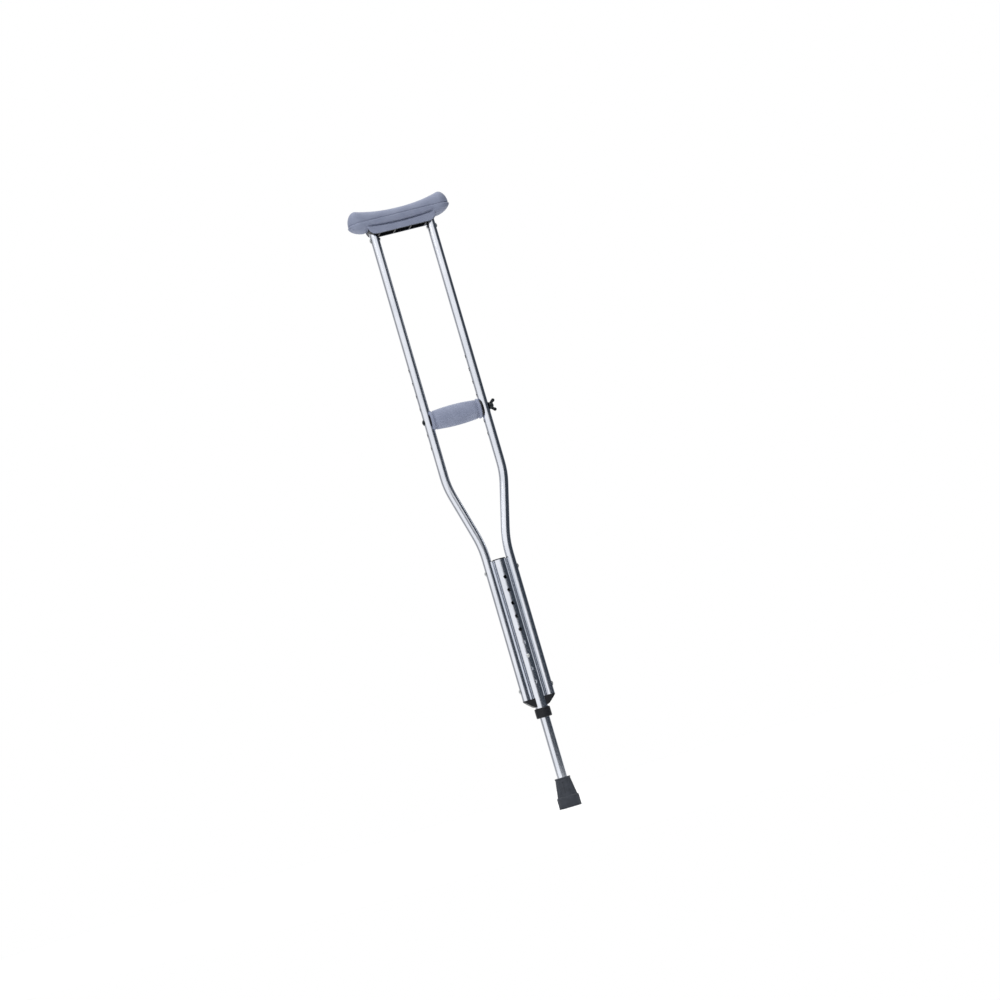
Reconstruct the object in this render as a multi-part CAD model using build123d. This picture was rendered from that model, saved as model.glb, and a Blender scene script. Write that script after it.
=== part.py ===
from build123d import *
import os
from math import cos, radians, sin, sqrt

# An adjustable underarm crutch, upright, in millimetres.
# +Z is up and the origin is on the floor, at the centre of the tip's sole.
# The two rails stand at -X and +X. The spring button faces -Y, the front.

# Tubes
rail_diameter = 17.5
rail_wall = 1.4
leg_diameter = 19.05
leg_wall = 1.4
spine_diameter = 25.0
spine_wall = 2.0
saddle_wall = 1.65
saddle_wrap = 104.0          # degrees of each rail that a saddle hugs
saddle_web = 7.0
grip_space = 94.5            # clear width between the rails at the handgrip

# Fits
running_clearance = 0.08     # radial, leg and guides that slide
button_clearance = 0.10      # radial, button in its holes
bolt_clearance = 0.10        # radial, bolt in the rails and the grip
press_gap = 0.05             # radial, plugs pushed into tubes
rail_seat_clearance = 0.10   # grip's end pieces round the rails
spring_gap = 0.15            # spring strip to the leg's bore

# Heights, each counted up from the piece below it
tip_height = 56.6
exposed_leg = 116.0
collar_height = 18.5
cap_rise = 20.0              # collar's top to the rails' lower ends
first_hole_rise = 29.0       # rails' lower ends to the lowest button hole
spine_head = 34.6            # highest button hole to the spine's top
lower_bend_rise = 31.0       # spine's top to the corner of the rails' lower bend
bend_rise = 125.5            # lower bend's corner to the upper bend's corner
first_grip_hole_rise = 77.7  # upper bend's corner to the lowest grip hole
rail_head = 272.4            # highest grip hole to the rails' upper ends
lower_bend_radius = 190.0
upper_bend_radius = 150.0

# Height adjustment of the leg
hole_pitch = 25.4
button_hole_count = 9
button_hole_diameter = 7.0
button_hole_in_use = 2       # counted up from the lowest, which is 0
button_to_leg_end = 46.0
button_proud = 2.1
button_stem_radius = 1.5
button_tail = 0.8
button_tail_radius = 2.4
button_dome = 2.1
guide_flange = 6.0
guide_plug = 16.0
guide_bore_radius = 5.0
strip_width = 7.0
strip_thickness = 0.8
strip_length = 48.0          # button down to the spring's bend
strip_over = 7.0             # strip above the button
strip_bend_radius = 2.5
strip_shoulder_radius = 6.0

# Collar, plugs and caps
collar_diameter = 30.0
collar_lip = 5.0
collar_edge = 1.2
cap_plug = 14.0
cap_lip = 1.6
cap_gap = 3.4                # wedge's foot to the collar's top
top_cap_thickness = 2.0
top_cap_plug = 9.0
top_cap_overhang = 0.3

# Rivets
rivet_diameter = 4.8
rivet_head_diameter = 9.5
rivet_head_height = 2.2
rivet_low_rise = 18.6        # rails' lower ends to the low pair
rivet_high_drop = 19.7       # spine's top down to the high pair
rivet_bite = 3.2             # length held in the spine's wall

# Rubber tip
tip_base_diameter = 42.2
tip_band_height = 19.5
tip_shoulder_rise = 2.5
tip_waist_diameter = 37.8
tip_top_diameter = 28.4
tip_rim = 3.0
tip_rim_proud = 0.7
tip_floor = 9.0
tip_edge = 0.8
tread_depth = 1.6
tread_width = 2.4
tread_ring_count = 3
flute_count = 12
flute_radius = 2.0
flute_depth = 0.8
flute_margin = 5.0
washer_thickness = 1.6

# Handgrip
grip_hole_count = 7
grip_hole_in_use = 2         # counted up from the lowest, which is 0
grip_middle_diameter = 40.4
grip_end_diameter = 35.8
grip_flange_diameter = 38.0
grip_flange_width = 3.6
grip_groove_diameter = 33.4
grip_groove_width = 2.4
grip_core_diameter = 24.0
grip_saddle_diameter = 31.4
grip_saddle_web = 5.0        # rail's inner side to the sleeve's end
grip_saddle_wing = 4.0       # how far it reaches past the rail's inner side
saddle_spigot = 8.0
saddle_spigot_wall = 2.5
bolt_diameter = 6.35
bolt_head_diameter = 11.0
bolt_head_height = 2.6
bolt_end = 1.0               # bolt past the nut's hub
bolt_point = 0.6
nut_washer_diameter = 14.0
nut_washer_thickness = 1.6
nut_hub_diameter = 12.0
nut_hub_height = 6.0
nut_hub_taper = 1.0
nut_bore_clearance = 0.08
wing_span = 24.0
wing_reach = 11.4            # washer to the wings' tips
wing_thickness = 2.6
wing_width = 6.4
wing_root = 0.6
wing_turn = 14.0             # degrees from upright

# Cradle and underarm pad
cradle_plate = 5.0
cradle_depth = 28.0
cradle_wall = 2.2
cradle_drop = 9.5            # rails' upper ends down to the cradle's foot
cradle_rib = 2.4
cradle_rib_spacing = 31.0
cradle_end_wall = 2.5
cradle_plug = 26.0
cradle_rivet_gap = 0.6       # cradle's foot to the rivets' heads
cradle_rivet_tail = 1.2
cradle_tail_radius = 3.1
pad_length = 196.0
pad_depth = 47.0
pad_middle_rise = 30.5       # cradle's plate to the pad's top in the middle
pad_end_rise = 11.0          # middle of the top to its ends
pad_peak_inset = 16.0
pad_lobe_radius = 21.0
pad_lobe_drop = 6.0          # cradle's plate down to the lobes' foot
pad_round = 10.0
skirt_drop = 7.0             # rails' upper ends down to the skirt's foot
skirt_depth = 41.0
skirt_corner = 9.0
notch_width = 4.0
notch_rise = 11.0            # lobes' foot up to the notch's top

# Radii and centre distances
rail_radius = rail_diameter / 2
rail_bore_radius = rail_radius - rail_wall
leg_radius = leg_diameter / 2
leg_bore_radius = leg_radius - leg_wall
spine_radius = spine_diameter / 2
spine_bore_radius = spine_radius - spine_wall
lower_rail_x = spine_radius + saddle_wall + rail_radius
upper_rail_x = grip_space / 2 + rail_radius
bolt_radius = bolt_diameter / 2
rivet_radius = rivet_diameter / 2
hub_radius = nut_hub_diameter / 2

# Heights above the floor
collar_bottom_z = tip_height + exposed_leg
collar_top_z = collar_bottom_z + collar_height
spine_bottom_z = collar_bottom_z + collar_lip
rail_end_z = collar_top_z + cap_rise
first_hole_z = rail_end_z + first_hole_rise
button_z = first_hole_z + button_hole_in_use * hole_pitch
last_hole_z = first_hole_z + (button_hole_count - 1) * hole_pitch
spine_top_z = last_hole_z + spine_head
lower_bend_z = spine_top_z + lower_bend_rise
upper_bend_z = lower_bend_z + bend_rise
first_grip_hole_z = upper_bend_z + first_grip_hole_rise
grip_z = first_grip_hole_z + grip_hole_in_use * hole_pitch
rail_top_z = first_grip_hole_z + (grip_hole_count - 1) * hole_pitch + rail_head
leg_end_z = button_z + button_to_leg_end
leg_foot_z = tip_floor + washer_thickness
cradle_top_z = rail_top_z + cradle_plate
cradle_foot_z = rail_top_z - cradle_drop
cradle_half = upper_rail_x + rail_radius + cradle_end_wall
rivet_heights = [rail_end_z + rivet_low_rise, spine_top_z - rivet_high_drop]
cradle_rivet_z = cradle_foot_z - rivet_head_diameter / 2 - cradle_rivet_gap

# Places along the bolt
sleeve_half = grip_space / 2 - grip_saddle_web
rail_outside_x = upper_rail_x + rail_radius
nut_seat_x = rail_outside_x + nut_washer_thickness


def upright(radius, low, high, x=0.0):
    """A round bar from one height to another."""
    return Pos(x, 0, (low + high) / 2) * Cylinder(radius, high - low)


def across(radius, low, high, z):
    """A round bar along X."""
    return Pos((low + high) / 2, 0, z) * Rot(0, 90, 0) * Cylinder(radius, high - low)


def fore_and_aft(radius, front, back, z):
    """A round bar along Y."""
    return Pos(0, (front + back) / 2, z) * Rot(90, 0, 0) * Cylinder(radius, back - front)


def block(size_x, size_y, low, high, x=0.0):
    """A box standing between two heights."""
    return Pos(x, 0, (low + high) / 2) * Box(size_x, size_y, high - low)


def mirrored(shape):
    return mirror(shape, about=Plane.YZ)


# Rails

def rail():
    path = FilletPolyline(
        (lower_rail_x, 0, rail_end_z),
        (lower_rail_x, 0, lower_bend_z),
        (upper_rail_x, 0, upper_bend_z),
        (upper_rail_x, 0, rail_top_z),
        radius=[lower_bend_radius, upper_bend_radius],
    )
    start = Plane(origin=path @ 0, z_dir=path % 0)
    tube = sweep(start * Circle(rail_radius), path=path)
    tube -= sweep(start * Circle(rail_bore_radius), path=path)
    low_x, high_x = lower_rail_x - rail_diameter, lower_rail_x + rail_diameter
    for z in rivet_heights:
        tube -= across(rivet_radius, low_x, high_x, z)
    low_x, high_x = upper_rail_x - rail_diameter, upper_rail_x + rail_diameter
    for step in range(grip_hole_count):
        z = first_grip_hole_z + step * hole_pitch
        tube -= across(bolt_radius + bolt_clearance, low_x, high_x, z)
    tube -= across(rivet_radius, low_x, high_x, cradle_rivet_z)
    return tube


# Centre tube with its saddles

def saddle_section():
    """One saddle in plan: a lip round the rail and a web into the round tube."""
    half = radians(saddle_wrap / 2)
    far = rail_diameter
    fan = make_face(Polyline(
        (0, 0),
        (-far * cos(half), far * sin(half)),
        (-2 * far, 0),
        (-far * cos(half), -far * sin(half)),
        close=True,
    ))
    lip = Circle(rail_radius + saddle_wall) & fan
    web_inner = spine_bore_radius + spine_wall / 2
    web_outer = lower_rail_x - rail_radius + saddle_wall
    web = Pos((web_inner + web_outer) / 2, 0) * Rectangle(web_outer - web_inner, saddle_web)
    section = Pos(lower_rail_x, 0) * lip + web
    section -= Pos(lower_rail_x, 0) * Circle(rail_radius)
    return section - Circle(spine_bore_radius)


def spine():
    tube = upright(spine_radius, spine_bottom_z, spine_top_z)
    saddle = Pos(0, 0, rail_end_z) * extrude(saddle_section(), spine_top_z - rail_end_z)
    tube += [saddle, mirrored(saddle)]
    tube -= upright(spine_bore_radius, spine_bottom_z, spine_top_z)
    for step in range(button_hole_count):
        z = first_hole_z + step * hole_pitch
        tube -= fore_and_aft(button_hole_diameter / 2, -spine_diameter, 0, z)
    inner_x = spine_bore_radius - spine_wall
    for z in rivet_heights:
        tube -= across(rivet_radius, inner_x, lower_rail_x, z)
        tube -= across(rivet_radius, -lower_rail_x, -inner_x, z)
    return tube


def spine_cap():
    rim = upright(spine_radius + top_cap_overhang, spine_top_z, spine_top_z + top_cap_thickness)
    rim = fillet(rim.edges().group_by(Axis.Z)[-1], top_cap_thickness / 2)
    return rim + upright(spine_bore_radius - press_gap, spine_top_z - top_cap_plug, spine_top_z)


def end_cap():
    """Right cap: a plug in the rail and a wedge that falls inwards to the centre tube."""
    foot_z = collar_top_z + cap_gap
    outside_x = lower_rail_x + rail_radius
    plan = Pos(lower_rail_x, 0) * Circle(rail_radius)
    plan += Pos(lower_rail_x / 2, 0) * Rectangle(lower_rail_x, rail_diameter)
    plan -= Circle(spine_radius)
    column = Pos(0, 0, foot_z) * extrude(plan, rail_end_z - foot_z)
    slope_x, slope_z = (spine_radius + outside_x) / 2, (foot_z + rail_end_z) / 2
    bulge = cap_lip
    edges = Polyline((outside_x, rail_end_z - cap_lip), (outside_x, rail_end_z), (0, rail_end_z), (0, foot_z),
                     (spine_radius, foot_z))
    edges += ThreePointArc(
        (spine_radius, foot_z), (slope_x + bulge, slope_z - bulge), (outside_x, rail_end_z - cap_lip)
    )
    side = extrude(Plane.XZ * make_face(edges), rail_diameter, both=True)
    plug = upright(rail_bore_radius - press_gap, rail_end_z, rail_end_z + cap_plug, lower_rail_x)
    wedge = column & side
    return wedge + plug


def collar():
    ring = upright(collar_diameter / 2, collar_bottom_z, collar_top_z)
    ring = chamfer(ring.edges().filter_by(GeomType.CIRCLE), collar_edge)
    ring -= upright(leg_radius + running_clearance, collar_bottom_z, spine_bottom_z)
    return ring - upright(spine_radius, spine_bottom_z, collar_top_z)


# Rivets

def round_head(radius, height):
    """A low domed head on the plane z = 0, pointing up."""
    ball = (radius ** 2 + height ** 2) / (2 * height)
    return Pos(0, 0, height - ball) * Sphere(ball) & Pos(0, 0, height / 2) * Cylinder(radius, height)


def outward(shape, x, z):
    """Turns a shape that points up so that it points to +X, and sets it at x, z."""
    return Pos(x, 0, z) * Rot(0, 90, 0) * shape


def rail_rivets():
    head_x = lower_rail_x + rail_radius
    tip_x = spine_radius + saddle_wall - rivet_bite
    found = []
    for z in rivet_heights:
        head = outward(round_head(rivet_head_diameter / 2, rivet_head_height), head_x, z)
        rivet = head + across(rivet_radius, tip_x, head_x, z)
        found += [rivet, mirrored(rivet)]
    return Compound(children=found)


def cradle_rivets():
    inside_x = upper_rail_x - rail_radius
    head = outward(round_head(rivet_head_diameter / 2, rivet_head_height), rail_outside_x, cradle_rivet_z)
    rivet = head + across(rivet_radius, inside_x, rail_outside_x, cradle_rivet_z)
    rivet += across(cradle_tail_radius, inside_x - cradle_rivet_tail, inside_x, cradle_rivet_z)
    return Compound(children=[rivet, mirrored(rivet)])


# Leg

def leg():
    tube = upright(leg_radius, leg_foot_z, leg_end_z)
    tube -= upright(leg_bore_radius, leg_foot_z, leg_end_z)
    return tube - fore_and_aft(button_hole_diameter / 2, -leg_diameter, 0, button_z)


def leg_guide():
    flange = upright(spine_bore_radius - running_clearance, leg_end_z, leg_end_z + guide_flange)
    flange = chamfer(flange.edges().group_by(Axis.Z)[-1], collar_edge)
    guide = flange + upright(leg_bore_radius - press_gap, leg_end_z - guide_plug, leg_end_z)
    return guide - upright(guide_bore_radius, leg_end_z - guide_plug, leg_end_z + guide_flange)


# The strip's outer face stays inside the leg's bore at the strip's two long edges.
strip_face_y = sqrt((leg_bore_radius - spring_gap) ** 2 - (strip_width / 2) ** 2)


def v_spring():
    middle_y = strip_face_y - strip_thickness / 2
    top_z = button_z + strip_over
    shoulder_z = button_z - strip_over
    path = FilletPolyline(
        (0, -middle_y, top_z),
        (0, -middle_y, shoulder_z),
        (0, 0, button_z - strip_length),
        (0, middle_y, shoulder_z),
        (0, middle_y, top_z),
        radius=[strip_shoulder_radius, strip_bend_radius, strip_shoulder_radius],
    )
    start = Plane(origin=path @ 0, x_dir=(1, 0, 0), z_dir=path % 0)
    strip = sweep(start * Rectangle(strip_width, strip_thickness), path=path)
    hole = button_stem_radius + press_gap
    return strip - fore_and_aft(hole, -leg_radius, 0, button_z)


def snap_button():
    radius = button_hole_diameter / 2 - button_clearance
    top_y = -(spine_radius + button_proud)
    body = fore_and_aft(radius, top_y, -strip_face_y, button_z)
    body = fillet(body.edges().filter_by(GeomType.CIRCLE).sort_by(Axis.Y)[0], button_dome)
    tail_y = strip_thickness + button_tail - strip_face_y
    stem = fore_and_aft(button_stem_radius, -strip_face_y, tail_y, button_z)
    tail = fore_and_aft(button_tail_radius, tail_y - button_tail, tail_y, button_z)
    return body + stem + tail


# Tip

def tip_cone_radius(z):
    """Outer radius of the tip's tapered part at a height."""
    low_z = tip_band_height + tip_shoulder_rise
    high_z = tip_height - tip_rim
    share = (z - low_z) / (high_z - low_z)
    return (tip_waist_diameter + (tip_top_diameter - tip_waist_diameter) * share) / 2


def rubber_tip():
    base_radius = tip_base_diameter / 2
    top_radius = tip_top_diameter / 2
    outline = make_face(Polyline(
        (0, 0),
        (base_radius - tip_edge, 0),
        (base_radius, tip_edge),
        (base_radius, tip_band_height),
        (tip_waist_diameter / 2, tip_band_height + tip_shoulder_rise),
        (top_radius, tip_height - tip_rim),
        (top_radius + tip_rim_proud, tip_height - tip_rim + tip_rim_proud),
        (top_radius + tip_rim_proud, tip_height - tip_rim_proud),
        (top_radius, tip_height),
        (0, tip_height),
        close=True,
    ))
    tip = revolve(Plane.XZ * outline, Axis.Z)
    tip -= upright(leg_radius, tip_floor, tip_height)
    tread_pitch = base_radius / (tread_ring_count + 0.5)
    for ring in range(tread_ring_count):
        outer = tread_pitch * (ring + 1)
        groove = upright(outer, 0, tread_depth)
        tip -= groove - upright(outer - tread_width, 0, tread_depth)
    low_z = tip_band_height + tip_shoulder_rise + flute_margin
    high_z = tip_height - tip_rim - flute_margin
    sink = flute_radius - flute_depth
    low = Vector(tip_cone_radius(low_z) + sink, 0, low_z)
    high = Vector(tip_cone_radius(high_z) + sink, 0, high_z)
    run = Line(low, high)
    flute = sweep(Plane(origin=low, z_dir=run % 0) * Circle(flute_radius), path=run)
    flute += [Pos(*low) * Sphere(flute_radius), Pos(*high) * Sphere(flute_radius)]
    for step in range(flute_count):
        tip -= Rot(0, 0, (step + 0.5) * 360 / flute_count) * flute
    return tip


def tip_washer():
    return upright(leg_radius, tip_floor, leg_foot_z) - upright(bolt_radius, tip_floor, leg_foot_z)


# Handgrip

def grip_sleeve():
    """Barrel with a flange and a groove at each end, turned about the bolt."""
    flange_r = grip_flange_diameter / 2
    groove_r = grip_groove_diameter / 2
    end_r = grip_end_diameter / 2
    round_r = grip_flange_width / 3
    flange_x = sleeve_half - grip_flange_width
    barrel_x = flange_x - grip_groove_width
    core_r = grip_core_diameter / 2
    right = Polyline((barrel_x, end_r), (flange_x - grip_groove_width / 2, groove_r),
                     (flange_x, flange_r - round_r), (flange_x + round_r, flange_r),
                     (sleeve_half - round_r, flange_r), (sleeve_half, flange_r - round_r), (sleeve_half, core_r))
    left = Polyline((-sleeve_half, core_r), (-sleeve_half, flange_r - round_r),
                    (round_r - sleeve_half, flange_r), (-flange_x - round_r, flange_r),
                    (-flange_x, flange_r - round_r), (grip_groove_width / 2 - flange_x, groove_r),
                    (-barrel_x, end_r))
    barrel = ThreePointArc((-barrel_x, end_r), (0, grip_middle_diameter / 2), (barrel_x, end_r))
    core = Line((sleeve_half, core_r), (-sleeve_half, core_r))
    outline = make_face(left + barrel + right + core)
    return Pos(0, 0, grip_z) * revolve(outline, Axis.X)


def grip_core():
    core = across(grip_core_diameter / 2, -sleeve_half, sleeve_half, grip_z)
    spigot = grip_core_diameter / 2 - saddle_spigot_wall
    for side in (-1, 1):
        ends = sorted([side * sleeve_half, side * (sleeve_half - saddle_spigot)])
        core -= across(spigot, ends[0], ends[1], grip_z)
    return core - across(bolt_radius + bolt_clearance, -sleeve_half, sleeve_half, grip_z)


def grip_saddle():
    """Right end piece: a disc with a channel for the rail, and a spigot in the core."""
    disc = across(grip_saddle_diameter / 2, sleeve_half, grip_space / 2 + grip_saddle_wing, grip_z)
    spigot = grip_core_diameter / 2 - saddle_spigot_wall - press_gap
    piece = disc + across(spigot, sleeve_half - saddle_spigot, sleeve_half, grip_z)
    height = grip_saddle_diameter
    piece -= upright(rail_radius + rail_seat_clearance, grip_z - height, grip_z + height, upper_rail_x)
    return piece - across(bolt_radius + bolt_clearance, 0, upper_rail_x, grip_z)


def grip_bolt():
    end_x = nut_seat_x + nut_hub_height + bolt_end
    shank = across(bolt_radius, -rail_outside_x, end_x, grip_z)
    shank = chamfer(shank.edges().sort_by(Axis.X)[-1], bolt_point)
    head = Pos(-rail_outside_x, 0, grip_z) * Rot(0, -90, 0)
    return shank + head * round_head(bolt_head_diameter / 2, bolt_head_height)


def nut_washer():
    washer = across(nut_washer_diameter / 2, rail_outside_x, nut_seat_x, grip_z)
    return washer - across(bolt_radius + bolt_clearance, rail_outside_x, nut_seat_x, grip_z)


def wing_nut():
    """Hub on the +Z side of the origin first, then laid along the bolt."""
    hub = Cone(hub_radius, hub_radius - nut_hub_taper, nut_hub_height)
    nut = Pos(0, 0, nut_hub_height / 2) * hub
    tip_r = wing_width / 2
    tip_x = wing_span / 2 - tip_r
    tip_z = wing_reach - tip_r
    root_x = hub_radius - 2 * nut_hub_taper
    lean = Vector(tip_z - wing_root, hub_radius - tip_x).normalized() * tip_r
    wing = make_face(Polyline(
        (root_x, wing_root),
        (hub_radius, wing_root),
        (tip_x + lean.X, tip_z + lean.Y),
        (tip_x - lean.X, tip_z - lean.Y),
        (root_x, nut_hub_height),
        close=True,
    ))
    wing += Pos(tip_x, tip_z) * Circle(tip_r)
    plate = extrude(Plane.XZ * wing, wing_thickness / 2, both=True)
    nut += [plate, mirrored(plate)]
    nut -= Pos(0, 0, nut_hub_height / 2) * Cylinder(bolt_radius + nut_bore_clearance, nut_hub_height)
    return Pos(nut_seat_x, 0, grip_z) * Rot(wing_turn, 0, 0) * Rot(0, 90, 0) * nut


# Cradle and pad

def cradle():
    plate = block(2 * cradle_half, cradle_depth, rail_top_z, cradle_top_z)
    plate = fillet(plate.edges().filter_by(Axis.Z), cradle_wall)
    shell = block(2 * cradle_half, cradle_depth, cradle_foot_z, rail_top_z)
    shell = fillet(shell.edges().filter_by(Axis.Z), cradle_wall)
    inner_x = 2 * (cradle_half - cradle_wall)
    inner_y = cradle_depth - 2 * cradle_wall
    hollow = block(inner_x, inner_y, cradle_foot_z, rail_top_z)
    piece = plate + (shell - hollow)
    for side in (-1, 1):
        x = side * cradle_rib_spacing / 2
        piece += block(cradle_rib, cradle_depth - cradle_wall, cradle_foot_z, rail_top_z, x)
        sleeve_x = side * upper_rail_x
        piece += upright(rail_radius + cradle_wall, cradle_foot_z, rail_top_z, sleeve_x)
    for side in (-1, 1):
        x = side * upper_rail_x
        piece -= upright(rail_radius, cradle_foot_z, rail_top_z, x)
        piece += upright(rail_bore_radius - press_gap, rail_top_z - cradle_plug, rail_top_z, x)
    piece &= block(2 * cradle_half, cradle_depth, rail_top_z - cradle_plug, cradle_top_z)
    reach = rail_outside_x + cradle_end_wall
    return piece - across(rivet_radius, -reach, reach, cradle_rivet_z)


def pad_outline():
    """Front view of the cushion: a hollowed top, full ends and two lobes below."""
    half = pad_length / 2
    middle_z = cradle_top_z + pad_middle_rise
    peak_z = middle_z + pad_end_rise
    foot_z = cradle_top_z - pad_lobe_drop
    peak_x = half - pad_peak_inset
    corner = pad_peak_inset
    diagonal = corner * (1 - cos(radians(45)))
    lobe = pad_lobe_radius
    lobe_diagonal = lobe * (1 - cos(radians(45)))
    top = ThreePointArc((-peak_x, peak_z), (0, middle_z), (peak_x, peak_z))
    right = ThreePointArc((peak_x, peak_z), (half - diagonal, peak_z - diagonal), (half, peak_z - corner))
    right += Line((half, peak_z - corner), (half, foot_z + lobe))
    right += ThreePointArc(
        (half, foot_z + lobe), (half - lobe_diagonal, foot_z + lobe_diagonal), (half - lobe, foot_z)
    )
    left = mirror(right, about=Plane.YZ)
    foot = Line((half - lobe, foot_z), (lobe - half, foot_z))
    return make_face(top + right + foot + left)


def underarm_pad():
    body = extrude(Plane.XZ * pad_outline(), pad_depth / 2, both=True)
    body = fillet(body.edges().filter_by(lambda e: abs(abs(e.center().Y) - pad_depth / 2) < 0.01), pad_round)
    skirt_foot_z = rail_top_z - skirt_drop
    skirt = block(2 * cradle_half, skirt_depth, skirt_foot_z, cradle_top_z)
    lower = skirt.edges().filter_by(Axis.Y).group_by(Axis.Z)[0]
    skirt = fillet(lower, skirt_corner)
    body += skirt
    body -= block(2 * cradle_half, cradle_depth, skirt_foot_z, cradle_top_z)
    foot_z = cradle_top_z - pad_lobe_drop
    notch = block(notch_width, pad_depth, skirt_foot_z, foot_z + notch_rise, cradle_half + notch_width / 2)
    return body - [notch, mirrored(notch)]


os.makedirs("parts", exist_ok=True)
right_rail = rail()
right_cap = end_cap()
right_grip_saddle = grip_saddle()
pieces = {
    "left_rail": mirrored(right_rail),
    "right_rail": right_rail,
    "spine_extrusion": spine(),
    "spine_top_cap": spine_cap(),
    "left_end_cap": mirrored(right_cap),
    "right_end_cap": right_cap,
    "leg_collar": collar(),
    "rail_rivets": rail_rivets(),
    "underarm_cradle": cradle(),
    "cradle_rivets": cradle_rivets(),
    "underarm_pad": underarm_pad(),
    "leg_tube": leg(),
    "leg_guide": leg_guide(),
    "v_spring": v_spring(),
    "snap_button": snap_button(),
    "rubber_tip": rubber_tip(),
    "tip_washer": tip_washer(),
    "grip_core": grip_core(),
    "grip_sleeve": grip_sleeve(),
    "left_grip_saddle": mirrored(right_grip_saddle),
    "right_grip_saddle": right_grip_saddle,
    "grip_bolt": grip_bolt(),
    "nut_washer": nut_washer(),
    "wing_nut": wing_nut(),
}
for name, shape in pieces.items():
    export_step(shape, f"parts/{name}.step")

print("button height", round(button_z, 2), "grip height", round(grip_z, 2))
print("rail top", round(rail_top_z, 2), "upper rail centre", round(upper_rail_x, 3))
print("spring face", round(strip_face_y, 3), "nut seat", round(nut_seat_x, 3))
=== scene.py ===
from math import cos, pi, radians, sin, sqrt

import bmesh
import bpy
from mathutils import Matrix, Vector


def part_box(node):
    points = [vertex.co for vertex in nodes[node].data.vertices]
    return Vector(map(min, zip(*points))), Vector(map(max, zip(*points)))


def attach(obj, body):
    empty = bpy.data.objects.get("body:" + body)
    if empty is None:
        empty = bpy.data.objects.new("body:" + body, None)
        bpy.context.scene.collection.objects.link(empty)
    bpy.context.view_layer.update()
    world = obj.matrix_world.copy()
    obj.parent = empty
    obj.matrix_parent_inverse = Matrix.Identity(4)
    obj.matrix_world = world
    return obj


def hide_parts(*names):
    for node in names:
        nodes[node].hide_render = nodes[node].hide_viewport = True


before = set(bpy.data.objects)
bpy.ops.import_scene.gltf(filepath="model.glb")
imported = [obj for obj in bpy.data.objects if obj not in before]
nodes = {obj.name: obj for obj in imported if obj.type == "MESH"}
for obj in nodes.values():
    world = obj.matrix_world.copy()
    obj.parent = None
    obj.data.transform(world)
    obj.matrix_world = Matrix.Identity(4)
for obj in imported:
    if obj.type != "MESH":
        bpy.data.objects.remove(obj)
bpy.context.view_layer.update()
print("frame loaded:", len(nodes), "CAD nodes")

padLow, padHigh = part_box("underarm_pad")
cradleLow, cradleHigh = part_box("underarm_cradle")
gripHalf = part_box("grip_sleeve")[1].x
coreLow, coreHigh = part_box("grip_core")
gripZ = (coreLow.z + coreHigh.z) / 2
railLow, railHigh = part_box("right_rail")
railRadius = railHigh.y
railX = railHigh.x - railRadius


# Material helpers

def toLinear(hexColour):  # sRGB hex to the linear values that a shader takes
    values = [int(hexColour[i:i + 2], 16) / 255 for i in (1, 3, 5)]
    linear = [v / 12.92 if v <= 0.04045 else ((v + 0.055) / 1.055) ** 2.4 for v in values]
    return (*linear, 1.0)


def newMaterial(name):
    material = bpy.data.materials.new(name)
    material.use_nodes = True
    return material, material.node_tree.nodes["Principled BSDF"]


def addNode(tree, kind, settings=None, links=None, stops=None):
    node = tree.nodes.new(kind)
    for key, value in (settings or {}).items():
        if isinstance(key, int) or key in node.inputs:
            node.inputs[key].default_value = value
        else:
            setattr(node, key, value)
    for key, output in (links or {}).items():
        tree.links.new(output, node.inputs[key])
    if stops:
        ramp = node.color_ramp.elements
        while len(ramp) < len(stops):
            ramp.new(1.0)
        for element, (place, colour) in zip(ramp, stops):
            element.position = place
            element.color = colour
    return node


noiseSpan = {"From Min": 0.3, "From Max": 0.7}   # nearly all of the noise lies between these
toneSpan = (0.35, 0.65)                          # and a metal's two tones meet between these


def wearNoise(tree, size, stretch=(1, 1, 1), detail=3.0):  # grains are about size metres across
    place = addNode(tree, "ShaderNodeTexCoord")
    turned = addNode(tree, "ShaderNodeMapping", {"Scale": stretch}, {"Vector": place.outputs["Object"]})
    return addNode(tree, "ShaderNodeTexNoise", {"Scale": 1 / size, "Detail": detail},
                   {"Vector": turned.outputs["Vector"]})


# Satin anodised aluminium: drawn tube, etched and clear anodised, so it mirrors softly along fine lines
anodised = {
    "light": "#E9ECF2", "dark": "#DDE1E8",
    "roughness": (0.11, 0.16),
    "lineWidth": 0.0012,   # real lines are about 0.2 mm apart, drawn coarser so that they show
    "lineStretch": 0.012,  # lines run along the tube
    "lineDepth": 0.02, "lineHeight": 0.0002,
    "cloudSize": 0.060,
}


def anodisedAluminium():
    material, shader = newMaterial("satinAnodisedAluminium")
    tree = material.node_tree
    lines = wearNoise(tree, anodised["lineWidth"], (1, 1, anodised["lineStretch"]), 2.0)
    clouds = wearNoise(tree, anodised["cloudSize"])
    tone = addNode(tree, "ShaderNodeValToRGB", links={"Fac": clouds.outputs["Fac"]},
                   stops=[(toneSpan[0], toLinear(anodised["dark"])),
                          (toneSpan[1], toLinear(anodised["light"]))])
    low, high = anodised["roughness"]
    rough = addNode(tree, "ShaderNodeMapRange", {**noiseSpan, "To Min": low, "To Max": high},
                    {"Value": lines.outputs["Fac"]})
    height = anodised["lineHeight"]
    bump = addNode(tree, "ShaderNodeBump", {"Strength": anodised["lineDepth"], "Distance": height},
                   {"Height": lines.outputs["Fac"]})
    shader.inputs["Metallic"].default_value = 1.0
    tree.links.new(tone.outputs["Color"], shader.inputs["Base Color"])
    tree.links.new(rough.outputs["Result"], shader.inputs["Roughness"])
    tree.links.new(bump.outputs["Normal"], shader.inputs["Normal"])
    return material


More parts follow.
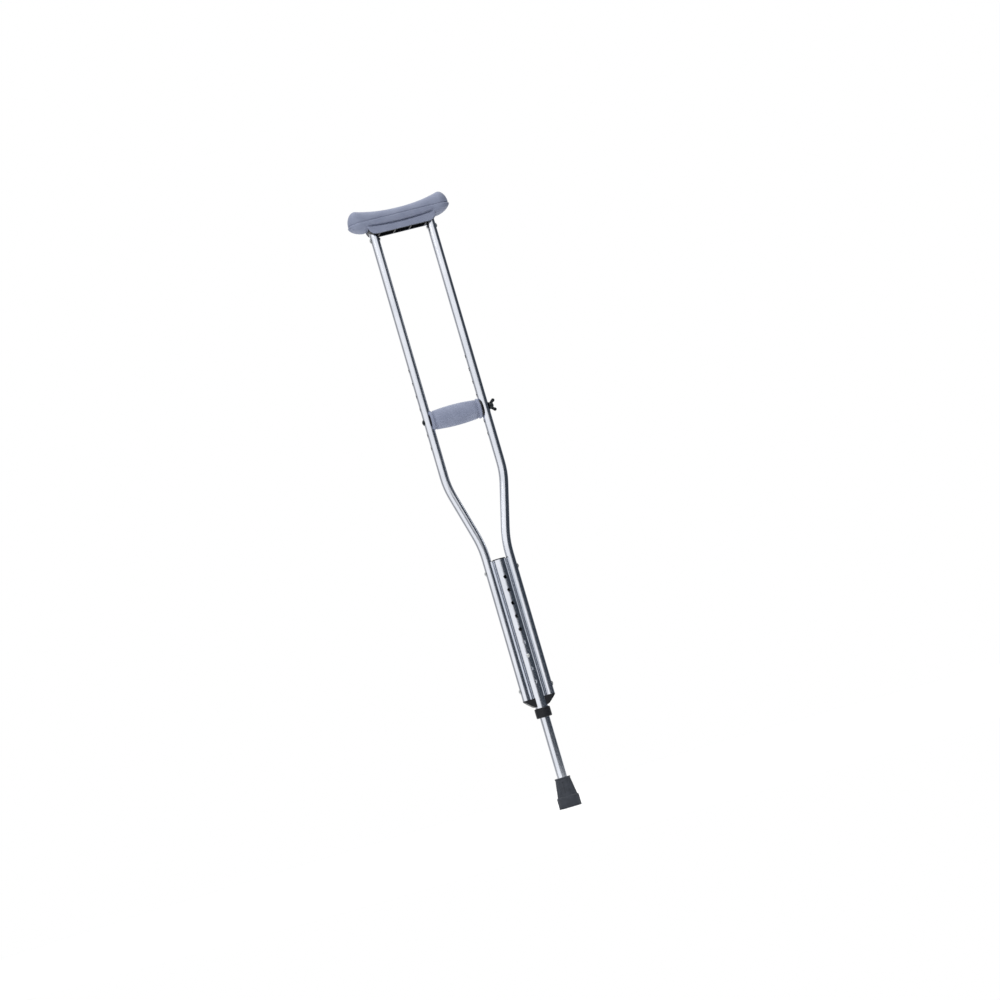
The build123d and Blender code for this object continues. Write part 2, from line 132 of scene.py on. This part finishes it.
# Moulded plastics and rubbers share one recipe: two close tones, a fine grain and an uneven sheen
def mouldedMaterial(name, look):
    material, shader = newMaterial(name)
    tree = material.node_tree
    clouds = wearNoise(tree, look["cloudSize"])
    grain = wearNoise(tree, look["grainSize"], detail=2.0)
    tone = addNode(tree, "ShaderNodeValToRGB", links={"Fac": clouds.outputs["Fac"]},
                   stops=[(noiseSpan["From Min"], toLinear(look["dark"])),
                          (noiseSpan["From Max"], toLinear(look["light"]))])
    low, high = look["roughness"]
    rough = addNode(tree, "ShaderNodeMapRange", {**noiseSpan, "To Min": low, "To Max": high},
                    {"Value": grain.outputs["Fac"]})
    height = look["grainSize"] / 2
    bump = addNode(tree, "ShaderNodeBump", {"Strength": look["grainDepth"], "Distance": height},
                   {"Height": grain.outputs["Fac"]})
    shader.inputs["IOR"].default_value = look["ior"]
    shader.inputs["Specular IOR Level"].default_value = look["sheen"]
    tree.links.new(tone.outputs["Color"], shader.inputs["Base Color"])
    tree.links.new(rough.outputs["Result"], shader.inputs["Roughness"])
    tree.links.new(bump.outputs["Normal"], shader.inputs["Normal"])
    return material


# Foamed vinyl skin: dull, blue-grey, with a soft closed-cell grain
foam = {
    "light": "#868DA2", "dark": "#7A8197", "cloudSize": 0.022,
    "grainSize": 0.0009, "grainDepth": 0.25, "roughness": (0.52, 0.66), "ior": 1.52, "sheen": 0.4,
}
# Injection moulded polypropylene: near black, spark-eroded texture, half matt
polypropylene = {
    "light": "#0E1117", "dark": "#090B10", "cloudSize": 0.015,
    "grainSize": 0.0006, "grainDepth": 0.15, "roughness": (0.34, 0.48), "ior": 1.49, "sheen": 0.3,
}
# Vulcanised rubber: dark slate and dry, with a coarse uneven grain
rubber = {
    "light": "#33373F", "dark": "#282C33", "cloudSize": 0.012,
    "grainSize": 0.0007, "grainDepth": 0.3, "roughness": (0.55, 0.72), "ior": 1.52, "sheen": 0.3,
}
# Turned nylon tube: pale grey, smooth, half matt
nylon = {
    "light": "#B9BABA", "dark": "#ABACAD", "cloudSize": 0.010,
    "grainSize": 0.0008, "grainDepth": 0.1, "roughness": (0.4, 0.5), "ior": 1.53, "sheen": 0.5,
}


# Zinc plated or blackened steel: tumbled small fasteners, so their shine is slightly uneven
def steelMaterial(name, look):
    material, shader = newMaterial(name)
    tree = material.node_tree
    marks = wearNoise(tree, look["markSize"])
    tone = addNode(tree, "ShaderNodeValToRGB", links={"Fac": marks.outputs["Fac"]},
                   stops=[(toneSpan[0], toLinear(look["dark"])),
                          (toneSpan[1], toLinear(look["light"]))])
    low, high = look["roughness"]
    rough = addNode(tree, "ShaderNodeMapRange", {**noiseSpan, "To Min": low, "To Max": high},
                    {"Value": marks.outputs["Fac"]})
    shader.inputs["Metallic"].default_value = look["metallic"]
    tree.links.new(tone.outputs["Color"], shader.inputs["Base Color"])
    tree.links.new(rough.outputs["Result"], shader.inputs["Roughness"])
    return material


zincPlate = {
    "light": "#D0D2D2", "dark": "#B4B7B8",
    "markSize": 0.0012, "roughness": (0.28, 0.42), "metallic": 1.0,
}
blackOxide = {
    "light": "#33383C", "dark": "#1E2226",
    "markSize": 0.0015, "roughness": (0.38, 0.52), "metallic": 0.8,
}

finishes = {
    "satin_aluminium": anodisedAluminium(),
    "black_plastic": mouldedMaterial("mouldedPolypropylene", polypropylene),
    "soft_grey_blue": mouldedMaterial("foamedVinyl", foam),
    "tip_rubber": mouldedMaterial("vulcanisedRubber", rubber),
    "core_plastic": mouldedMaterial("turnedNylon", nylon),
    "zinc_steel": steelMaterial("zincPlatedSteel", zincPlate),
    "black_steel": steelMaterial("blackOxideSteel", blackOxide),
}
for node in nodes.values():
    for place in node.material_slots:
        place.material = finishes[place.material.name.split(".")[0]]
print("materials set")


# Mesh helpers

def makePiece(name, bm, finish, body, sharpAngle=40):  # without a body it is only a step to another piece
    bmesh.ops.recalc_face_normals(bm, faces=bm.faces)
    mesh = bpy.data.meshes.new(name)
    bm.to_mesh(mesh)
    bm.free()
    piece = bpy.data.objects.new(name, mesh)
    bpy.context.scene.collection.objects.link(piece)
    mesh.materials.append(finishes[finish])
    mesh.shade_smooth()
    mesh.set_sharp_from_angle(angle=radians(sharpAngle))
    if body:
        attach(piece, body)
    return piece


def bakeModifiers(piece):  # the mesh as its modifiers leave it, as a bmesh; the piece itself goes
    shown = piece.evaluated_get(bpy.context.evaluated_depsgraph_get())
    mesh = bpy.data.meshes.new_from_object(shown)
    bm = bmesh.new()
    bm.from_mesh(mesh)
    bpy.data.meshes.remove(mesh)
    bpy.data.objects.remove(piece)
    return bm


def addBox(bm, low, high):
    middle = (Vector(low) + Vector(high)) / 2
    size = Vector(high) - Vector(low)
    return bmesh.ops.create_cube(bm, matrix=Matrix.Translation(middle) @ Matrix.Diagonal((*size, 1)))["verts"]


def smoothStep(value, low, high):
    share = min(1.0, max(0.0, (value - low) / (high - low)))
    return share * share * (3 - 2 * share)


# Cradle under the pad: a ribbed channel between the rails, with a socket and a plug for each rail

cradle = {
    "halfDepth": 0.0180,
    "shoulderRise": 0.0016,   # sockets' foot above the channel's foot
    "wall": 0.0022,
    "draft": 0.0003,
    "corner": 0.0088, "cornerSteps": 8,
    "endPastRail": 0.0006,
    "rib": 0.0024, "ribX": 0.0155,
    "plugRadius": 0.0073,
    "edge": 0.0004, "edgeSteps": 2,
}


def addRod(bm, radius, start, end, sides=64):  # a round bar from one point to another
    run = Vector(end) - Vector(start)
    turn = run.to_track_quat("Z", "Y").to_matrix().to_4x4()
    middle = (Vector(start) + Vector(end)) / 2
    return bmesh.ops.create_cone(bm, cap_ends=True, segments=sides, radius1=radius, radius2=radius,
                                 depth=run.length, matrix=Matrix.Translation(middle) @ turn)["verts"]


def underarmCradle():
    depth, wall, rib = cradle["halfDepth"], cradle["wall"], cradle["rib"]
    footZ, plateZ, topZ = padLow.z, railHigh.z, cradleHigh.z   # plate lies on the rails' ends
    channelX = railX - railRadius
    inWall = depth - wall / 2
    bm = bmesh.new()
    addBox(bm, (-channelX, -depth, footZ), (channelX, depth, topZ))
    bm.normal_update()
    foot = [f for f in bm.faces if f.normal.z < -0.5]
    bmesh.ops.inset_region(bm, faces=foot, thickness=wall, use_even_offset=True)
    bmesh.ops.inset_region(bm, faces=foot, thickness=cradle["draft"], depth=footZ - plateZ,
                           use_even_offset=True)
    for side in (-1, 1):
        x = side * cradle["ribX"]
        addBox(bm, (x - rib / 2, -inWall, footZ), (x + rib / 2, inWall, plateZ))
        ends = sorted([side * channelX, side * (railHigh.x + cradle["endPastRail"])])
        verts = addBox(bm, (ends[0], -depth, footZ + cradle["shoulderRise"]), (ends[1], depth, topZ))
        corner = [e for e in bm.edges if e.verts[0] in verts and e.verts[1] in verts
                  and abs(e.verts[0].co.y - e.verts[1].co.y) > depth
                  and abs(e.verts[0].co.x) > railX and e.verts[0].co.z < plateZ]
        bmesh.ops.bevel(bm, geom=corner, offset=cradle["corner"], affect="EDGES",
                        segments=cradle["cornerSteps"], profile=0.5, material=-1)
        addRod(bm, cradle["plugRadius"], (side * railX, 0, cradleLow.z), (side * railX, 0, plateZ))
    piece = makePiece("underarmCradle", bm, "black_plastic", "frame")
    edge = piece.modifiers.new("edge", "BEVEL")
    edge.width = cradle["edge"]
    edge.segments = cradle["edgeSteps"]
    edge.limit_method = "ANGLE"
    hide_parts("underarm_cradle")


underarmCradle()
print("cradle moulded")


# Underarm pad

pad = {
    "middleDip": 0.0110,      # ends' peaks above the middle
    "dipPower": 2.2,
    "peakInset": 0.0160,      # peaks in from the ends
    "shoulder": 0.0230,       # height of the rounded upper end
    "lobeReach": 0.0330,      # rounded lower end, along the pad
    "lobeRise": 0.0175,
    "lobeDrop": 0.0015,       # cradle's plate down to the lobes' foot
    "planRound": 0.0210,      # ends' rounding seen from above
    "bluntEnd": 0.25,         # what is left of the depth at the very end
    "lastRing": 0.9995,       # the rings stop just short of the end
    "topSquareness": 2.4,     # 2 is an ellipse, more is squarer
    "footSquareness": 3.6,
    "rings": 110,
    "sides": 72,
    "slotOuter": 0.0715, "slotInner": 0.0665,   # slots between the flaps and the lobes
    "slotTop": 0.0020,        # above the cradle's plate
    "flapThickness": 0.0024,
    "flapTop": 0.0060,        # above the cradle's plate, inside the body
    "flapCorner": 0.0150, "flapCornerSteps": 10,
    "cradleGap": 0.0003,
    "cutPast": 0.0100,        # the recess is cut this far past the pad's foot
    "voxel": 0.0008,
    "smoothTimes": 3, "smooth": 0.5, "lastSmooth": 0.3,
    "creaseRise": 0.0157,     # cradle's plate up to the parting crease
    "creaseDepth": 0.0013, "creaseWidth": 0.0014,
    "flapCreaseRise": 0.0016, "flapCreaseCurve": 0.0048,   # crease above the flaps, higher at its ends
    "flapCreaseDepth": 0.0040, "flapCreaseWidth": 0.0025,
    "flapCreaseFade": 0.9,    # share of the flap's half length where the crease starts to run out
    "lowerProud": 0.0006, "lowerEndProud": 0.0018,   # how far the lower half stands out below the crease
}


def padSection(share):  # lowest and highest point and half depth at a share of the half length
    half = padHigh.x
    x = abs(share) * half
    peakX = half - pad["peakInset"]
    footZ = cradleHigh.z - pad["lobeDrop"]
    if x <= peakX:
        topZ = padHigh.z - pad["middleDip"] * (1 - (x / peakX) ** pad["dipPower"])
    else:
        run = (x - peakX) / pad["peakInset"]
        topZ = padHigh.z - pad["shoulder"] * (1 - sqrt(max(0.0, 1 - run * run)))
    lobeX = half - pad["lobeReach"]
    lowZ = footZ
    if x > lobeX:
        run = (x - lobeX) / pad["lobeReach"]
        lowZ = footZ + pad["lobeRise"] * (1 - sqrt(max(0.0, 1 - run * run)))
    lowZ += pad["lobeDrop"] * (1 - smoothStep(x, pad["slotInner"], pad["slotOuter"]))
    depth = padHigh.y
    planX = half - pad["planRound"]
    if x > planX:
        run = (x - planX) / pad["planRound"]
        depth *= pad["bluntEnd"] + (1 - pad["bluntEnd"]) * sqrt(max(0.0, 1 - run * run))
    return lowZ, topZ, depth


def padBody():
    bm = bmesh.new()
    bmesh.ops.create_cone(bm, cap_ends=True, segments=pad["sides"], radius1=1, radius2=1, depth=2,
                          matrix=Matrix.Rotation(pi / 2, 4, "Y"))
    long = [e for e in bm.edges if abs(e.verts[0].co.x - e.verts[1].co.x) > 1]
    bmesh.ops.subdivide_edges(bm, edges=long, cuts=pad["rings"] - 1)
    for v in bm.verts:
        share = sin(v.co.x * pi / 2) * pad["lastRing"]
        lowZ, topZ, depth = padSection(share)
        across, up = v.co.y, v.co.z
        power = 2 / (pad["topSquareness"] if up > 0 else pad["footSquareness"])
        middleZ, tall = (lowZ + topZ) / 2, (topZ - lowZ) / 2
        v.co.x = share * padHigh.x
        v.co.y = depth * abs(across) ** power * (1 if across > 0 else -1)
        v.co.z = middleZ + tall * abs(up) ** power * (1 if up > 0 else -1)
    return makePiece("padBody", bm, "soft_grey_blue", None)


def padCutter():
    bm = bmesh.new()
    gap = pad["cradleGap"]
    startZ = padLow.z - pad["cutPast"]
    addBox(bm, (cradleLow.x - gap, -cradle["halfDepth"] - gap, startZ),
           (cradleHigh.x + gap, cradle["halfDepth"] + gap, cradleHigh.z + gap))
    for side in (-1, 1):
        ends = sorted([side * pad["slotInner"], side * pad["slotOuter"]])
        addBox(bm, (ends[0], padLow.y * 2, startZ),
               (ends[1], padHigh.y * 2, cradleHigh.z + pad["slotTop"]))
    return makePiece("padCutter", bm, "soft_grey_blue", None)


def addFlap(bm, side):  # the band that hangs over the cradle's front or back
    inner = cradle["halfDepth"] + pad["cradleGap"]
    ys = sorted([side * inner, side * (inner + pad["flapThickness"])])
    verts = addBox(bm, (-pad["slotInner"], ys[0], padLow.z),
                   (pad["slotInner"], ys[1], cradleHigh.z + pad["flapTop"]))
    corners = [e for e in bm.edges if e.verts[0] in verts and e.verts[1] in verts
               and abs(e.verts[0].co.y - e.verts[1].co.y) > pad["flapThickness"] / 2
               and e.verts[0].co.z < cradleHigh.z]
    bmesh.ops.bevel(bm, geom=corners, offset=pad["flapCorner"], affect="EDGES",
                    segments=pad["flapCornerSteps"], profile=0.5, material=-1)


def smoothSkin(bm, factor):
    bmesh.ops.smooth_vert(bm, verts=bm.verts, factor=factor,
                          use_axis_x=True, use_axis_y=True, use_axis_z=True)


def groove(height, middle, width):  # 1 in the middle of a crease, 0 at its sides
    return max(0.0, 1 - ((height - middle) / width) ** 2) ** 2


def creaseShift(v):  # how far a point of the skin moves for the two creases and the prouder lower half
    creaseZ = cradleHigh.z + pad["creaseRise"]
    width = pad["creaseWidth"]
    below = 1 - smoothStep(v.co.z, creaseZ - width, creaseZ + width / 2)
    fade = smoothStep(v.co.z, cradleHigh.z, cradleHigh.z + pad["creaseRise"] / 2)
    proud = pad["lowerProud"] + (pad["lowerEndProud"] - pad["lowerProud"]) * v.normal.x ** 2
    along = v.co.x / pad["slotInner"]
    flapZ = cradleHigh.z + pad["flapCreaseRise"] + pad["flapCreaseCurve"] * along ** 2
    fold = groove(v.co.z, flapZ, pad["flapCreaseWidth"])
    fold *= 1 - smoothStep(abs(along), pad["flapCreaseFade"], 1)
    depth = pad["creaseDepth"] * groove(v.co.z, creaseZ, width) + pad["flapCreaseDepth"] * fold
    return Vector((v.normal.x, v.normal.y, 0)) * (proud * below * fade - depth)


def underarmPad():
    body, cutter = padBody(), padCutter()
    cut = body.modifiers.new("cradleRecess", "BOOLEAN")
    cut.operation = "DIFFERENCE"
    cut.solver = "FAST"
    cut.object = cutter
    bm = bakeModifiers(body)
    bpy.data.objects.remove(cutter)
    for side in (-1, 1):
        addFlap(bm, side)
    whole = makePiece("padWhole", bm, "soft_grey_blue", None)
    grid = whole.modifiers.new("skin", "REMESH")
    grid.mode = "VOXEL"
    grid.voxel_size = pad["voxel"]
    bm = bakeModifiers(whole)
    for _ in range(pad["smoothTimes"]):
        smoothSkin(bm, pad["smooth"])
    bm.normal_update()
    shifts = [creaseShift(v) for v in bm.verts]
    for v, shift in zip(bm.verts, shifts):
        v.co += shift
    smoothSkin(bm, pad["lastSmooth"])
    piece = makePiece("underarmPad", bm, "soft_grey_blue", "frame", 60)
    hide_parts("underarm_pad")


underarmPad()
print("underarm pad moulded")


# Handgrip: a soft sleeve whose ends lap over two black end pieces that cup the rails

sleeve = {
    "leftLap": 0.0098, "rightLap": 0.0046,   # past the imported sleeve, over the end pieces
    "railGap": 0.0003,
    "lapRadius": 0.0159,
    "flangeRadius": 0.0190, "flangeWidth": 0.0056, "flangeRound": 0.0035, "flangeEdge": 0.0010,
    "grooveRadius": 0.0166, "grooveWidth": 0.0032,
    "grooveFoot": (0.3, 0.7),   # its flat foot, as shares of its width
    "endRadius": 0.0179, "middleRadius": 0.0202,
    "steps": 128,
    "barrelPoints": 13,
}
saddle = {
    "radius": 0.0157, "railGap": 0.0001,
    "leftWing": 0.0002, "rightWing": 0.0024,   # past the rail's inner side
}


def cutByRails(bm, gap):  # channels along both rails
    whole = makePiece("whole", bm, "black_plastic", None)
    for side in (-1, 1):
        bm = bmesh.new()
        tall = 3 * railRadius
        addRod(bm, railRadius + gap, (side * railX, 0, gripZ - tall), (side * railX, 0, gripZ + tall))
        rail = makePiece("railCutter", bm, "black_plastic", None)
        cut = whole.modifiers.new("railChannel", "BOOLEAN")
        cut.operation = "DIFFERENCE"
        cut.solver = "FAST"
        cut.object = rail
        bm = bakeModifiers(whole)
        bpy.data.objects.remove(rail)
        whole = makePiece("whole", bm, "black_plastic", None)
    return bakeModifiers(whole)


def gripSleeve():
    coreRadius = (coreHigh.z - coreLow.z) / 2
    flangeR, turn, edge = sleeve["flangeRadius"], sleeve["flangeRound"], sleeve["flangeEdge"]
    angles = [radians(a) for a in range(0, 91, 15)]

    def endProfile(lap):  # from the barrel's end over groove and flange to the core
        half = gripHalf + lap
        flangeX = half - sleeve["flangeWidth"]
        barrelX = flangeX - sleeve["grooveWidth"]
        points = [(barrelX, sleeve["endRadius"])]
        points += [(barrelX + sleeve["grooveWidth"] * share, sleeve["grooveRadius"])
                   for share in sleeve["grooveFoot"]]
        points += [(flangeX, flangeR - edge), (flangeX + edge, flangeR)]
        points += [(half - turn + turn * sin(a), flangeR - turn + turn * cos(a)) for a in angles]
        points += [(half, sleeve["lapRadius"]), (gripHalf, sleeve["lapRadius"]), (gripHalf, coreRadius)]
        return points

    left, right = endProfile(sleeve["leftLap"]), endProfile(sleeve["rightLap"])
    leftX, rightX = -left[0][0], right[0][0]
    crown = sleeve["middleRadius"] - sleeve["endRadius"]
    last = sleeve["barrelPoints"] - 1
    shares = [2 * i / last - 1 for i in range(1, last)]
    middleX, span = (leftX + rightX) / 2, (rightX - leftX) / 2
    barrel = [(middleX + s * span, sleeve["endRadius"] + crown * (1 - s * s)) for s in shares]
    profile = [(-x, r) for x, r in reversed(left)] + barrel + right
    bm = bmesh.new()
    ring = [bm.verts.new((x, 0, r)) for x, r in profile]
    edges = [bm.edges.new((a, b)) for a, b in zip(ring, ring[1:] + ring[:1])]
    bmesh.ops.spin(bm, geom=edges, cent=(0, 0, 0), axis=(1, 0, 0), angle=2 * pi, steps=sleeve["steps"],
                   use_merge=True)
    bmesh.ops.remove_doubles(bm, verts=bm.verts, dist=1e-6)
    bmesh.ops.translate(bm, verts=bm.verts, vec=(0, 0, gripZ))
    piece = makePiece("gripSleeve", cutByRails(bm, sleeve["railGap"]), "soft_grey_blue", "handgrip", 50)
    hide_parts("grip_sleeve")


def gripSaddle(name, side, wing, node):
    bm = bmesh.new()
    endX = side * (railX - railRadius + wing)
    addRod(bm, saddle["radius"], (side * gripHalf, 0, gripZ), (endX, 0, gripZ))
    bm = cutByRails(bm, saddle["railGap"])
    piece = makePiece(name, bm, "black_plastic", "handgrip", 30)
    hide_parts(node)


gripSleeve()
gripSaddle("leftGripSaddle", -1, saddle["leftWing"], "left_grip_saddle")
gripSaddle("rightGripSaddle", 1, saddle["rightWing"], "right_grip_saddle")
print("handgrip made")


# Rails' lower end caps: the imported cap, its lower side cut to a straight slope

cap = {"lip": 0.0010, "footWidth": 0.0015}


def endCap(name, side, node):
    low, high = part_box(node)
    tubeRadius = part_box("spine_extrusion")[1].y
    outX = high.x if side > 0 else low.x
    inX = side * (tubeRadius + cap["footWidth"])
    bm = bmesh.new()
    bm.from_mesh(nodes[node].data)
    bmesh.ops.remove_doubles(bm, verts=bm.verts, dist=1e-6)
    slope = Vector((outX - inX, 0, railLow.z - cap["lip"] - low.z))
    outward = Vector((slope.z, 0, -slope.x)) * side
    cut = bmesh.ops.bisect_plane(bm, geom=bm.verts[:] + bm.edges[:] + bm.faces[:], plane_co=(inX, 0, low.z),
                                 plane_no=outward, clear_outer=True)
    rim = [e for e in cut["geom_cut"] if isinstance(e, bmesh.types.BMEdge)]
    bmesh.ops.edgeloop_fill(bm, edges=rim)
    piece = makePiece(name, bm, "black_plastic", "frame", 30)
    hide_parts(node)


endCap("leftEndCap", -1, "left_end_cap")
endCap("rightEndCap", 1, "right_end_cap")
print("end caps cut")


# Floor, light and camera

stage = {
    "floorRadius": 1.6,
    "floorColour": "#F2F2F2", "floorRoughness": 0.9,
    "world": 1.0,            # brightness of the whole studio
    "dome": 1.7,             # brightness overhead, against 1 for the white front
    "domeFrom": 0.35, "domeFull": 0.75,   # rise of the view where the dome starts and where it is full
    "coolness": 1.02,        # blue against red and green in the studio's greys
    "key": 14.0, "keySize": 1.2, "keyPlace": (-1.9, -2.3, 2.4), "keyAim": (0, 0, 0.7),
}
shot = {
    "azimuth": -12.0,        # camera on the left of the front
    "distance": 5.0,
    "height": 0.146,
    "aimHeight": 0.585,
    "aimAside": 0.0336,      # the picture's centre lies this far to the right of the crutch
    "roll": -16.3,
    "focal": 96.5, "sensor": 36.0,
}


def makeFloor():
    bm = bmesh.new()
    bmesh.ops.create_circle(bm, cap_ends=True, segments=128, radius=stage["floorRadius"])
    mesh = bpy.data.meshes.new("floor")
    bm.to_mesh(mesh)
    bm.free()
    floor = bpy.data.objects.new("floor", mesh)
    bpy.context.scene.collection.objects.link(floor)
    material, shader = newMaterial("paleFloor")
    shader.inputs["Base Color"].default_value = toLinear(stage["floorColour"])
    shader.inputs["Roughness"].default_value = stage["floorRoughness"]
    mesh.materials.append(material)


# The studio is a ring round the crutch: a broad white front, a grey left side and a white back. A dark flag
# stands before its right side, so the tubes mirror a light face with a dark band on the right.
studioStops = [  # degrees from the camera, positive to the right, and grey level
    (-180, 0.95), (-140, 0.85), (-118, 0.36), (-84, 0.36), (-66, 1.0), (42, 1.0), (150, 0.9), (180, 0.95),
]
flag = {  # its near edge leans, so low down it takes in more of a tube than high up
    "low": -10, "high": 42,      # near edge at the horizon and higher up, in degrees from the camera
    "highAt": 0.17,              # rise of the view there
    "soft": 14,                  # width of the near edge's blur
    "end": 126, "endSoft": 24,   # far edge and its blur
    "grey": (0.045, 0.055, 0.07, 1.0),
}


def makeWorld():
    world = bpy.data.worlds.new("studio")
    bpy.context.scene.world = world
    world.use_nodes = True
    tree = world.node_tree
    background = tree.nodes["Background"]
    output = tree.nodes["World Output"]
    way = addNode(tree, "ShaderNodeTexCoord")
    turned = addNode(tree, "ShaderNodeMapping", {"Rotation": (0, 0, radians(-shot["azimuth"]))},
                     {"Vector": way.outputs["Generated"]})
    parts = addNode(tree, "ShaderNodeSeparateXYZ", links={"Vector": turned.outputs["Vector"]})
    front = addNode(tree, "ShaderNodeMath", {"operation": "MULTIPLY", 1: -1.0}, {0: parts.outputs["Y"]})
    angle = addNode(tree, "ShaderNodeMath", {"operation": "ARCTAN2"},
                    {0: parts.outputs["X"], 1: front.outputs[0]})
    share = addNode(tree, "ShaderNodeMapRange", {"From Min": -pi, "From Max": pi},
                    {"Value": angle.outputs[0]})
    ring = addNode(tree, "ShaderNodeValToRGB", links={"Fac": share.outputs["Result"]},
                   stops=[((a + 180) / 360, (g, g, g * stage["coolness"], 1.0)) for a, g in studioStops])
    edge = addNode(tree, "ShaderNodeMapRange", {
        "From Min": 0.0, "From Max": flag["highAt"],
        "To Min": radians(flag["low"]), "To Max": radians(flag["high"])}, {"Value": parts.outputs["Z"]})
    inside = addNode(tree, "ShaderNodeMath", {"operation": "SUBTRACT"},
                     {0: angle.outputs[0], 1: edge.outputs["Result"]})
    near = addNode(tree, "ShaderNodeMapRange", {"From Min": 0.0, "From Max": radians(flag["soft"])},
                   {"Value": inside.outputs[0]})
    far = addNode(tree, "ShaderNodeMapRange", {
        "From Min": radians(flag["end"]), "From Max": radians(flag["end"] + flag["endSoft"]),
        "To Min": 1.0, "To Max": 0.0}, {"Value": angle.outputs[0]})
    cover = addNode(tree, "ShaderNodeMath", {"operation": "MULTIPLY"},
                    {0: near.outputs["Result"], 1: far.outputs["Result"]})
    shaded = addNode(tree, "ShaderNodeMix", {"data_type": "RGBA", 7: flag["grey"]},
                     {0: cover.outputs[0], 6: ring.outputs["Color"]})
    above = addNode(tree, "ShaderNodeMapRange",
                    {"From Min": stage["domeFrom"], "From Max": stage["domeFull"]},
                    {"Value": parts.outputs["Z"]})
    overhead = (stage["dome"], stage["dome"], stage["dome"], 1.0)
    dome = addNode(tree, "ShaderNodeMix", {"data_type": "RGBA", 7: overhead},
                   {0: above.outputs["Result"], 6: shaded.outputs[2]})
    tree.links.new(dome.outputs[2], background.inputs["Color"])
    background.inputs["Strength"].default_value = stage["world"]
    plain = addNode(tree, "ShaderNodeBackground", {"Color": (1.0, 1.0, 1.0, 1.0)})  # behind the crutch
    seen = addNode(tree, "ShaderNodeLightPath")
    mixed = addNode(tree, "ShaderNodeMixShader", links={
        0: seen.outputs["Is Camera Ray"], 1: background.outputs[0], 2: plain.outputs[0]})
    tree.links.new(mixed.outputs[0], output.inputs["Surface"])


def makeKeyLight():
    data = bpy.data.lights.new("keyLight", "AREA")
    data.energy = stage["key"]
    data.size = stage["keySize"]
    key = bpy.data.objects.new("keyLight", data)
    key.location = stage["keyPlace"]
    key.rotation_euler = (Vector(stage["keyAim"]) - key.location).to_track_quat("-Z", "Y").to_euler()
    bpy.context.scene.collection.objects.link(key)


def makeCamera():
    turn = radians(shot["azimuth"])
    right = Vector((cos(turn), sin(turn), 0))
    ahead = Vector((-sin(turn), cos(turn), 0))
    aim = right * shot["aimAside"] + Vector((0, 0, shot["aimHeight"]))
    data = bpy.data.cameras.new("camera")
    data.lens = shot["focal"]
    data.sensor_width = shot["sensor"]
    data.clip_start = 0.1
    data.clip_end = 100
    camera = bpy.data.objects.new("camera", data)
    place = right * shot["aimAside"] - ahead * shot["distance"] + Vector((0, 0, shot["height"]))
    facing = (aim - place).to_track_quat("-Z", "Y").to_matrix().to_4x4()
    camera.matrix_world = Matrix.Translation(place) @ facing @ Matrix.Rotation(radians(shot["roll"]), 4, "Z")
    bpy.context.scene.collection.objects.link(camera)
    bpy.context.scene.camera = camera


makeFloor()
makeWorld()
makeKeyLight()
makeCamera()
bpy.context.scene.view_settings.view_transform = "Standard"
print("stage ready")
